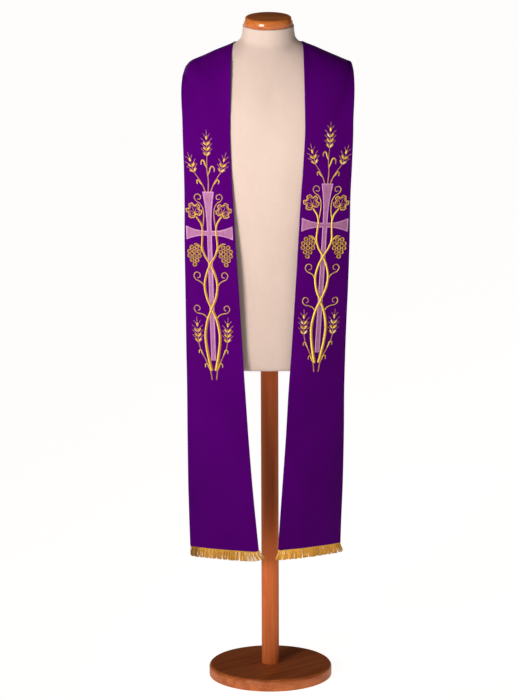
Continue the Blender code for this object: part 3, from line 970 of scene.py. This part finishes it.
def hem_line(word, section, side, form_tree, width):
    """Points along the middle of a hem's edge, and the way out from the body there."""
    inner, outer = HEM_CORNERS[word]
    hem = []
    for k in range(HEM_POINTS + 1):
        point = laid_on(form_tree, section_point(section, k / HEM_POINTS, side))
        near = width * k / HEM_POINTS
        point.z += corner_dip(near, inner.across, inner.up)
        point.z += corner_dip(width - near, outer.across, outer.up)
        hem.append(point)
    chord = hem[-1] - hem[0]
    hem_out = Vector((chord.y, -chord.x, 0.0)).normalized() * side
    return [point + hem_out * STOLE_WALL / 2 for point in hem], hem_out


Half = namedtuple("Half", "word piece hem hem_out tree")


def make_half(word, rows, side, form_tree, surface):
    """A half of the stole as a thin shell with turned edges and rounded corners."""
    grid, stitches, walls, hem_width = lay_cloth(word, rows, side, form_tree)
    front = []
    back = []
    for row, out, wall in zip(grid, grid_normals(grid, side), walls):
        middle = [p + n * STOLE_WALL / 2 for p, n in zip(row, out)]
        offset = [n * STOLE_WALL / 2 * share for n, share in zip(out, wall)]
        front.append([m + o for m, o in zip(middle, offset)])
        back.append([m - o for m, o in zip(middle, offset)])
    for point in front[0] + back[0]:
        point.x = side * SEAM_GAP / 2
    work = Work()
    work.grid([list(zip(*pair)) for pair in zip(front, stitches)], flip=side < 0)
    tree = BVHTree.FromPolygons(work.points, work.faces)
    inside = work.grid([list(zip(*pair)) for pair in zip(back, stitches)], flip=side > 0)
    for k in range(len(front[0]) - 1):
        face = (k, inside + k, inside + k + 1, k + 1)
        work.faces.append(face if side > 0 else face[::-1])
    name = word + "_half"
    thing = work.piece("purple_" + name, surface, "stole_cloth", "stole_" + name, weld=2e-6)
    hem, hem_out = hem_line(word, rows[-1], side, form_tree, hem_width)
    return Half(word, thing, hem, hem_out, tree)


# ---- the fringe
def along_line(points, share):
    """The point at a share of the way along a line of points."""
    place = min(max(share, 0.0), 1.0) * (len(points) - 1)
    low = min(int(place), len(points) - 2)
    return points[low].lerp(points[low + 1], place - low)


def fringe_colour(word, share, brightness):
    """The thread's colour at a share along a hem, with the hem's painted light and shade, redder
    where it is darker.
    """
    tones = FRINGE_PAINTED_LIGHT[word]
    before, after = next(pair for pair in zip(tones, tones[1:]) if share <= pair[1].share)
    t = (share - before.share) / (after.share - before.share)
    hem_light = before.brightness + (after.brightness - before.brightness) * t
    return tuple(c * (hem_light * brightness) ** power for c, power in FRINGE_GOLD)


def sew_strand(work, half, share, top, luck):
    """One strand of the fringe: two plies twisted together, hanging from its top."""
    inwards = (half.hem[0] - half.hem[-1]).normalized()
    fan = FANS[half.word]
    top.z -= PLY_RADIUS
    reach = STRAND_REACH - luck.uniform(0.0, STRAND_SHORTER)
    lean = luck.uniform(-STRAND_LEAN, STRAND_LEAN)
    lean += fan.inner * max(1 - share / FAN_SHARE, 0.0) ** FAN_POWER
    lean -= fan.outer * max(1 - (1 - share) / FAN_SHARE, 0.0) ** FAN_POWER
    for parting in PARTINGS[half.word]:
        off = (parting.share - share) / PARTING_REACH
        lean += math.copysign(math.exp(-abs(off)) * parting.width / 2, off)
    start = luck.uniform(0.0, 2 * math.pi)
    sway = luck.uniform(-STRAND_SWAY, STRAND_SWAY)
    belly = luck.uniform(*STRAND_BELLY)
    shine = luck.uniform(*STRAND_SHINE)
    drop = math.sqrt(reach**2 - lean**2)
    count = round(reach / STRAND_CELL)
    for ply in (0.0, math.pi):
        line = []
        colours = []
        for k in range(count + 1):
            t = k / count
            bend = lean * t**LEAN_POWER + sway * math.sin(2 * math.pi * SWAY_WAVES * t)
            turn = start + ply + 2 * math.pi * reach * t / STRAND_TWIST
            offset = (inwards * math.cos(turn) + half.hem_out * math.sin(turn)) * PLY_OFFSET
            centre = top + inwards * bend + half.hem_out * belly * math.sin(math.pi * t)
            centre.z -= drop * t
            line.append(centre + offset * (1 - 0.5 * t**12))
            tip = 1 - TIP_FADE * max(t - TIP_START, 0.0)
            colours.append(fringe_colour(half.word, share, shine * tip))
        work.tube(line, half.hem_out, PLY_RADIUS, PLY_SIDES, colours)


def sew_heading(work, half):
    """Two cords that cross to and fro over the tops of the strands."""
    steps = round(length_of(half.hem) / HEADING_PERIOD) * HEADING_STEPS
    for phase in (0.0, math.pi):
        line = []
        colours = []
        for k in range(steps + 1):
            share = HEADING_INSET + (1 - 2 * HEADING_INSET) * k / steps
            turn = 2 * math.pi * k / HEADING_STEPS + phase
            forward = HEADING_FORWARD + HEADING_SWELL * math.sin(2 * turn)
            place = along_line(half.hem, share) + half.hem_out * forward
            place.z -= HEADING_TOP + HEADING_HEIGHT * HEADING_WAVE * (1 - math.cos(turn))
            line.append(place)
            colours.append(fringe_colour(half.word, share, 1.1))
        work.tube(line, half.hem_out, HEADING_RADIUS, 6, colours)


def sew_tape(work, half):
    """The tape behind the cloth that carries the strands."""
    rows = []
    length = length_of(half.hem)
    near = -half.hem_out * (STOLE_WALL / 2 + TURNING_HEIGHT)
    far = near - half.hem_out * TAPE_WALL
    for k in range(TAPE_CELLS + 1):
        share = TAPE_INSET + (1 - 2 * TAPE_INSET) * k / TAPE_CELLS
        high = along_line(half.hem, share) + Vector((0.0, 0.0, TAPE_TOP))
        low = along_line(half.hem, share) - Vector((0.0, 0.0, HEADING_HEIGHT))
        colour = fringe_colour(half.word, share, 0.8)
        corners = enumerate((high + near, low, low + far, high + far))
        down = share * length
        rows.append([(p, (corner * TAPE_STITCH, down), colour) for corner, p in corners])
    work.grid(rows, round_rows=True)


def make_fringe(half, surface):
    """Twisted strands below a hem, under a row of gimp heading."""
    luck = random.Random("fringe " + half.word)
    work = Work()
    for strands in STRAND_ROWS:
        for index in range(strands.count):
            stray = luck.uniform(-STRAND_STRAY, STRAND_STRAY)
            share = (index + 0.5 + stray) / strands.count
            forward = strands.forward + luck.uniform(-STRAND_FORWARD, STRAND_FORWARD)
            top = along_line(half.hem, share) + half.hem_out * forward
            sew_strand(work, half, share, top, luck)
    sew_heading(work, half)
    sew_tape(work, half)
    name = "fringe_" + half.word
    return work.piece("gold_" + name, surface, "fringe_thread", name)


# ---- the embroidery
def resampled(points, step, side=1):
    """Evenly spaced points on a smooth line through the given ones, on either side."""
    knots = [(x * side, y) for x, y in points]
    cells = (len(knots) - 1) * SMOOTH_CELLS
    fine = [Vector(blend_rows(knots, k / SMOOTH_CELLS)) for k in range(cells + 1)]
    total = length_of(fine)
    count = max(2, round(total / step))
    evened = [fine[0]]
    walked = 0.0
    for a, b in zip(fine, fine[1:]):
        length = (b - a).length
        while length and len(evened) < count and walked + length >= len(evened) * total / count:
            evened.append(a.lerp(b, (len(evened) * total / count - walked) / length))
        walked += length
    return evened + [fine[-1]]


def tapered(start, end):
    """Half widths that change evenly from one end to the other."""
    return lambda t: start + (end - start) * t


def leafy(half):
    """Half widths of a leaf or grain, full in the middle and pointed at both ends."""
    return lambda t: max(half * math.sin(math.pi * t**0.85) ** 0.8, 0.06)


def curled(half):
    """Half widths of a hook, full in the middle and about half that at both ends."""
    return lambda t: half * (0.45 + 0.55 * math.sin(math.pi * t**0.8))


def domed(t):
    """The share of a round thing's full width at a share of its length."""
    return math.sqrt(max(1 - (2 * t - 1) ** 2, 0.0))


# A kind of stitch: its half width and height, each a number or a function of the share
# of its length, how many points it has across, and how far apart they lie along it,
# unless its line is already made of them.
Stitch = namedtuple("Stitch", "half height columns cell", defaults=[None])
EAR_STEM = Stitch(tapered(1.35, 0.80), 0.8, 7, 2.0)
HOOK = Stitch(curled(1.75), 1.1, 7, 1.2)
GRAIN = Stitch(leafy(2.3), 1.5, 7, 1.1)
AWN = Stitch(0.62, 0.5, 5, 2.2)
BERRY = Stitch(
    lambda t: max(BERRY_RADIUS * domed(t), 0.05), lambda t: 0.1 + 0.9 * domed(t), 7, 0.9
)
BERRY_RING = Stitch(0.72, 1.35, 5)
LEAF_OUTER = Stitch(1.0, 1.2, 5)
LEAF_INNER = Stitch(0.8, 0.9, 5)
VEIN = Stitch(tapered(0.85, 0.45), 0.8, 5, 1.2)
TENDRIL = Stitch(tapered(1.25, 0.85), 0.9, 5, 1.2)
BORDER = Stitch(1.4, 1.1, 7, 1.2)
BORDER_END = Stitch(1.4, 1.15, 7)


class Panel:
    """Where embroidery goes on a half: flat millimetres about the cross's middle."""

    def __init__(self, half):
        self.half = half
        self.middle = Vector(CROSS_PLACE[half.word])
        self.turn = Matrix.Rotation(CROSS_LEAN[half.word], 2)
        self.work = Work()

    def on_cloth(self, flat, height):
        """The point over the cloth at a flat place, at a height in millimetres."""
        x, z = self.middle + self.turn @ Vector(flat) * MM
        hit, normal, _, _ = self.half.tree.ray_cast(Vector((x, -1.0, z)), Vector((0, 1, 0)))
        if normal.y > 0:
            normal = -normal
        return hit + normal * height * MM

    def sew(self, points, stitch, left, right=None, side=1):
        """A ribbon on a smooth line through flat points, mirrored for side -1."""
        self.ribbon(resampled(points, stitch.cell, side), stitch, left, right)

    def sew_straight(self, foot, angle, length, stitch, left, right=None):
        """A straight ribbon from its foot, at an angle from straight up."""
        self.sew([foot, outwards(foot, angle, length)], stitch, left, right)

    def ribbon(self, line, stitch, left, right=None, flat=False):
        """A raised satin band along a flat line. Its sides may differ in colour, as the gold's
        painted lit side and painted shaded side.

        A flat one has square ends, a level top, and its threads running upright.
        """
        rows = []
        along = 0.0
        count = len(line) - 1
        total = length_of(line)
        closed = (line[0] - line[-1]).length < 1e-6
        offsets = [2 * c / (stitch.columns - 1) - 1 for c in range(stitch.columns)]
        for k, middle in enumerate(line):
            behind, ahead = around(line, k)
            if closed and k in (0, count):
                behind, ahead = line[count - 1], line[1]
            tangent = (ahead - behind).normalized()
            half, peak = [v(k / count) if callable(v) else v for v in (stitch.half, stitch.height)]
            to_end = min(along, total - along) / half
            if to_end < 1 and not closed and not flat:
                rounding = math.sqrt(max(1 - (1 - to_end) ** 2, 0.0))
                half = max(half * rounding, 0.04)
                peak *= rounding
            row = []
            for off in offsets:
                spot = middle + Vector((tangent.y, -tangent.x)) * off * half
                if flat:
                    rise = peak if abs(off) < 1 else -FIELD_SUNK
                else:
                    rise = peak * math.sqrt(max(1 - off * off, 0.0)) - RIBBON_SUNK
                across, down = (spot.y, spot.x) if flat else (off * half, along)
                colour = left if off < 0 else right or left
                row.append((self.on_cloth(spot, rise), (across * MM, down * MM), colour))
            rows.append(row)
            along += (ahead - middle).length
        self.work.grid(rows)


def outwards(middle, angle, length):
    """The flat point at a length from another, at an angle from straight up."""
    return Vector(middle) + Vector((math.sin(angle), math.cos(angle))) * length


def sew_hook(panel, root, lean, hook, side):
    """A curled blade that grows from a stem and bends over."""
    turn = Matrix.Rotation(-lean, 2)
    across = hook.side * side
    line = [root + turn @ Vector((x * across, y)) * hook.size for x, y in HOOK_LINE]
    # The blade has a painted lit side and a painted shaded side.
    panel.sew(line, HOOK, PAINTED_LIGHT_GOLD, PAINTED_SHADE_GOLD)


def sew_awn(panel, foot, angle, share):
    """One thin bristle, of a share of the full length."""
    panel.sew_straight(foot, angle, AWN_LENGTH * share, AWN, COPPER)


def sew_ear(panel, ear, side):
    """An ear of wheat: stem, curled blades, grains in pairs, and awns."""
    lean = math.radians(ear.lean) * side
    line = resampled(ear.stem, EAR_STEM.cell, side)
    top = line[-1]
    core = resampled([top, outwards(top, lean, GRAIN_PITCH * ear.pairs)], 3.0)
    panel.ribbon(line + core[1:], EAR_STEM, COPPER)
    for hook in ear.hooks:
        sew_hook(panel, line[round(hook.share * (len(line) - 1))], lean, hook, side)
    roots = [outwards(top, lean, GRAIN_START + GRAIN_PITCH * k) for k in range(ear.pairs + 1)]
    tip = roots.pop()
    for pair, root in enumerate(roots):
        for way in (-1, 1):
            turn = lean + way * GRAIN_TURN
            foot = outwards(root, lean + way * math.pi / 2, GRAIN_ASIDE)
            # Each grain has a painted lit side and a painted shaded side, and every third one a
            # painted white glint.
            light = PAINTED_GLINT if (pair + way) % 3 == 1 else PAINTED_LIGHT_GOLD
            shade = GOLD if way > 0 else PAINTED_SHADE_GOLD
            panel.sew_straight(foot, turn, GRAIN_LENGTH, GRAIN, light, shade)
            for awn in GRAIN_AWNS:
                foot = outwards(outwards(root, lean, awn.rise), turn, AWN_OUT)
                sew_awn(panel, foot, turn + way * awn.spread, awn.share)
    panel.sew_straight(tip, lean, GRAIN_LENGTH, GRAIN, PAINTED_LIGHT_GOLD, GOLD)
    sew_awn(panel, outwards(tip, lean, GRAIN_LENGTH), lean, 1.0)
    for way in (-1, 1):
        foot = outwards(tip, lean, TIP_AWN.rise)
        sew_awn(panel, foot, lean + way * TIP_AWN.spread, TIP_AWN.share)


def sew_grapes(panel, side):
    """A bunch of grapes: dark berries ringed with gold, in rows that widen and narrow."""
    count = BERRY_RING_POINTS
    turns = [math.pi / 2 - 2 * math.pi * (k % count) / count for k in range(count + 1)]
    for row, berries in enumerate(GRAPE_ROWS):
        for k in range(berries):
            across = GRAPE_TOP[0] + (k - (berries - 1) / 2) * GRAPE_PITCH
            middle = Vector((across * side, GRAPE_TOP[1] - row * GRAPE_DROP))
            flat = [middle + Vector((0, BERRY_RADIUS * s)) for s in (-1, -0.5, 0, 0.5, 1)]
            panel.sew(flat, BERRY, MAUVE)
            ring = [outwards(middle, turn, BERRY_RING_RADIUS) for turn in turns]
            # Each ring has a painted lit edge and a painted shaded edge.
            panel.ribbon(ring, BERRY_RING, PAINTED_LIGHT_GOLD, GOLD)


def leaf_outline(middle, size, side):
    """A closed outline with five lobes and a scalloped edge."""
    half = []
    for k in range((len(LEAF_EDGE) - 1) * 7 + 1):
        angle, reach = blend_rows(LEAF_EDGE, k / 7)
        turn = math.radians(angle)
        scallop = 1 - abs(math.sin(turn * LEAF_SCALLOPS / 2))
        half.append((turn, reach - LEAF_SCALLOP_DEPTH * scallop))
    points = []
    for turn, reach in half + [(-turn, reach) for turn, reach in reversed(half[:-1])]:
        spot = outwards(middle, turn + LEAF_TURN, reach * size)
        points.append(Vector((spot.x * side, spot.y)))
    return points


def sew_leaf(panel, side):
    """A vine leaf: two rows of gold round its edge, and its veins."""
    heart = outwards(LEAF_PLACE, LEAF_TURN, LEAF_RADIUS * LEAF_INNER_RISE)
    outer = leaf_outline(LEAF_PLACE, LEAF_RADIUS, side)
    inner = leaf_outline(heart, LEAF_RADIUS * LEAF_INNER_SIZE, side)
    # Both rows have a painted lit side and a painted shaded side, and the inner row is painted
    # darker.
    panel.ribbon(outer, LEAF_OUTER, PAINTED_LIGHT_GOLD, GOLD)
    panel.ribbon(inner, LEAF_INNER, GOLD, PAINTED_SHADE_GOLD)
    foot = outwards(LEAF_PLACE, math.pi + LEAF_TURN, LEAF_RADIUS * VEIN_FOOT)
    for vein in LEAF_VEINS:
        turn = math.radians(vein.angle) + LEAF_TURN
        tip = outwards(LEAF_PLACE, turn, LEAF_RADIUS * vein.reach)
        bend = foot.lerp(tip, 0.5) + outwards((0, 0), LEAF_TURN, VEIN_BEND)
        panel.sew([foot, bend, tip], VEIN, COPPER, side=side)


def sew_vine(panel, vine, side):
    """A thick stem with a painted lit side and a painted shaded side, that rises where it passes
    over the other.
    """
    line = resampled(vine.points, VINE_CELL, side)
    over = vine.over[0 if side > 0 else 1::2]

    def height(t):
        up = line[round(t * (len(line) - 1))].y
        return VINE_HEIGHT + sum(math.exp(-(((up - u) / VINE_OVER_REACH) ** 2)) for u in over)

    width = tapered(vine.start_half, vine.end_half)
    panel.ribbon(line, Stitch(width, height, 9), PAINTED_LIGHT_GOLD, PAINTED_SHADE_GOLD)


def limb_half(limb, reach):
    """Half the width of a limb of the cross at a reach from its middle."""
    share = max(reach - CROSS_HALF_WAIST, 0.0) / (limb.length - CROSS_HALF_WAIST)
    return CROSS_HALF_WAIST + (limb.end_half_width - CROSS_HALF_WAIST) * share**CROSS_FLARE


def make_cross(panel, surface):
    """The lilac cross: a flat satin field with a raised pink border."""
    for bar, height in enumerate(FIELD_HEIGHTS):
        ahead, behind = CROSS_LIMBS[bar], CROSS_LIMBS[bar + 2]
        total = ahead.length + behind.length
        count = round(total / FIELD_CELL)
        reaches = [total * k / count - behind.length for k in range(count + 1)]
        way = Vector((ahead.across, ahead.up))
        halves = [limb_half(behind if r < 0 else ahead, abs(r)) - FIELD_INSET for r in reaches]
        satin = Stitch(lambda t: halves[round(t * count)], height, 9)
        panel.ribbon([way * r for r in reaches], satin, LILAC, flat=True)
    for limb in CROSS_LIMBS:
        way = Vector((limb.across, limb.up))
        beside = Vector((limb.up, -limb.across))
        start = CROSS_HALF_WAIST - 2 * BORDER_INSET
        room = limb.length - BORDER_INSET - start
        count = round(room / BORDER.cell)
        reaches = [start + room * k / count for k in range(count + 1)]
        for hand in (-1, 1):
            line = [way * r + beside * hand * (limb_half(limb, r) - BORDER_INSET) for r in reaches]
            panel.ribbon(line, BORDER, PINK)
        end = way * (limb.length - BORDER_INSET)
        line = [end + beside * limb.end_half_width * (k / 12 - 1) for k in range(25)]
        panel.ribbon(line, BORDER_END, PINK)
    name = "cross_" + panel.half.word
    return panel.work.piece("satin_" + name, surface, "cross_satin", name)


def make_embroidery(panel, surface):
    """The gold work: vines, ears of wheat, grapes, leaves and tendrils."""
    for ear in EARS:
        for side in (1, -1) if ear.both_sides else (1,):
            sew_ear(panel, ear, side)
    for side in (1, -1):
        for tendril in TENDRILS:
            # Each tendril has a painted lit side and a painted shaded side.
            panel.sew(tendril, TENDRIL, PAINTED_LIGHT_GOLD, PAINTED_SHADE_GOLD, side)
        for vine in VINES:
            sew_vine(panel, vine, side)
        sew_leaf(panel, side)
        sew_grapes(panel, side)
    return panel.work.piece("gold_embroidery_" + panel.half.word, surface, "fringe_thread")


# ---- the studio
def make_sky():
    """A dim even sky, darker behind the form."""
    looks = Looks(bpy.data.worlds.new("soft_studio"), Color=(1.0, 1.0, 1.0))
    facing = looks.add("SeparateXYZ", Vector=looks.add("TexCoord")["Generated"])["Y"]
    looks.fill(looks.shader, Strength=looks.span(facing, -1.0, 1.0, SKY_FRONT, SKY_BACK))
    bpy.context.scene.world = looks.owner


def make_lamp(lamp):
    """A soft box that points at its aim."""
    light = bpy.data.lights.new(lamp.name, "AREA")
    light.energy = lamp.power
    light.size = lamp.size
    light.spread = math.radians(lamp.spread)
    thing = add_object(lamp.name, light)
    thing.location = lamp.place
    towards = Vector(lamp.aim) - Vector(lamp.place)
    thing.rotation_euler = towards.to_track_quat("-Z", "Y").to_euler()


def make_floor():
    """A wide pale floor with a glow of its own."""
    looks = Looks(
        bpy.data.materials.new("pale_floor"), Roughness=0.9, Specular_IOR_Level=0.0,
        Emission_Color=FLOOR_COLOUR, Emission_Strength=FLOOR_GLOW,
    )
    dust = looks.noise(looks.add("TexCoord")["Object"], (3.0, 3.0, 3.0))
    paint = [c * FLOOR_ALBEDO for c in FLOOR_COLOUR]
    looks.fill(looks.shader, Base_Color=looks.mix(dust, [c * 0.98 for c in paint], paint))
    mesh = bpy.data.meshes.new("studio_floor")
    corners = [(x * FLOOR_HALF, y * FLOOR_HALF, 0) for x, y in ((-1, -1), (1, -1), (1, 1), (-1, 1))]
    mesh.from_pydata(corners, [], [(0, 1, 2, 3)])
    mesh.materials.append(looks.owner)
    add_object("studio_floor", mesh)


def make_camera():
    """The camera at the photograph's angle."""
    data = bpy.data.cameras.new("camera")
    data.lens = CAMERA_LENS
    data.clip_end = 200.0
    camera = add_object("camera", data)
    camera.location = CAMERA_PLACE
    pitch = Matrix.Rotation(math.pi / 2 - CAMERA_PITCH, 3, "X")
    camera.rotation_euler = (pitch @ Matrix.Rotation(CAMERA_ROLL, 3, "Z")).to_euler()
    bpy.context.scene.camera = camera
    bpy.context.scene.view_settings.view_transform = "Standard"


def main():
    """Make the studio, the stand, the form and each half with all that is sewn on it."""
    make_sky()
    for lamp in LAMPS:
        make_lamp(lamp)
    make_floor()
    make_camera()
    make_stand()
    form, form_tree = make_form()
    purple = cloth_material(PURPLE)
    satin, metallic, strand = [thread_material(thread) for thread in THREADS]
    for word, side, rows, area in (
        ("right", -1, BACK + RIGHT_SHOULDER + RIGHT_FRONT, 0.200),
        ("left", 1, BACK + LEFT_SHOULDER + LEFT_FRONT, 0.203),
    ):
        half = make_half(word, rows, side, form_tree, purple)
        fringe = make_fringe(half, strand)
        cross = make_cross(Panel(half), satin)
        gold = make_embroidery(Panel(half), metallic)


main()
